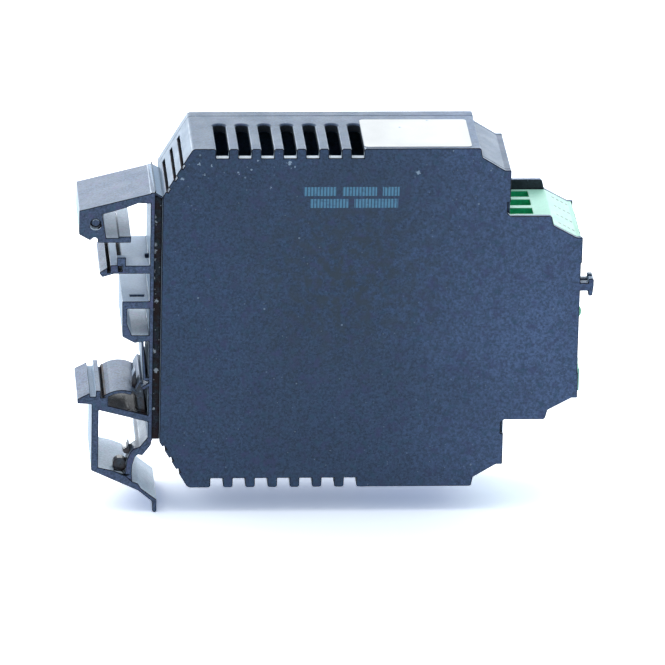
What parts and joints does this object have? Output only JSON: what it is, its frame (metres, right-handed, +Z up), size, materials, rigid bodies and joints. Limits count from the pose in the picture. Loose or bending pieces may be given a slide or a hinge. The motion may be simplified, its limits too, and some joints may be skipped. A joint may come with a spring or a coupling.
{
  "type": "signal converter",
  "caption": "Slim rail-mounted signal converter: vented black case, sprung rail foot, green pull-off screw plugs on stepped front tiers.",
  "frame": {"origin": "middle of the front face of the 35 mm rail that the foot grips, at the middle of the module's width", "axes": "+X from the rail towards the front of the module, +Y away from the near broad wall, +Z up the mounted module"},
  "size_m": [0.1064, 0.0226, 0.0806],
  "materials": {
    "case_plastic": "fine spark-eroded texture, slightly dusty",
    "foot_plastic": "smooth moulded",
    "panel_plastic": "fine texture",
    "label_film": "matt white film",
    "plug_plastic": "satin pale green",
    "header_plastic": "smooth black",
    "zinc_steel": "zinc plated",
    "tinned_copper": "tinned",
    "board_laminate": "green solder mask",
    "ferrite": "dark grey sintered",
    "bobbin_plastic": "cream moulded",
    "winding_wire": "lacquered copper under tape",
    "capacitor_sleeve": "shrunk sleeve",
    "film_case": "moulded box",
    "chip_resin": "moulded resin",
    "opto_resin": "moulded resin",
    "lamp_resin": "tinted epoxy"
  },
  "bodies": {
    "root": {"housing_tray": "case_plastic", "side_cover": "case_plastic", "rail_foot": "foot_plastic", "front_panel": "panel_plastic", "upper_blank_cover": "panel_plastic", "lower_blank_cover": "panel_plastic", "type_label": "label_film", "upper_header": "header_plastic", "lower_header": "header_plastic", "upper_header_pins": "tinned_copper", "lower_header_pins": "tinned_copper", "circuit_board": "board_laminate", "transformer_core": "ferrite", "transformer_bobbin": "bobbin_plastic", "transformer_winding": "winding_wire", "electrolytic_capacitors": "capacitor_sleeve", "film_capacitor": "film_case", "signal_chips": "chip_resin", "optocouplers": "opto_resin", "status_lamp": "lamp_resin"},
    "upper_plug": {"upper_plug_body": "plug_plastic", "upper_clamp_screws": "zinc_steel", "upper_clamp_cages": "zinc_steel", "upper_plug_contacts": "tinned_copper"},
    "lower_plug": {"lower_plug_body": "plug_plastic", "lower_clamp_screws": "zinc_steel", "lower_clamp_cages": "zinc_steel", "lower_plug_contacts": "tinned_copper"}
  },
  "joints": [
    {"name": "upper_plug_pull", "type": "slide", "parent": "root", "child": "upper_plug", "axis": [1, 0, 0], "range_m": [0, 0.008]},
    {"name": "lower_plug_pull", "type": "slide", "parent": "root", "child": "lower_plug", "axis": [1, 0, 0], "range_m": [0, 0.008]}
  ]
}
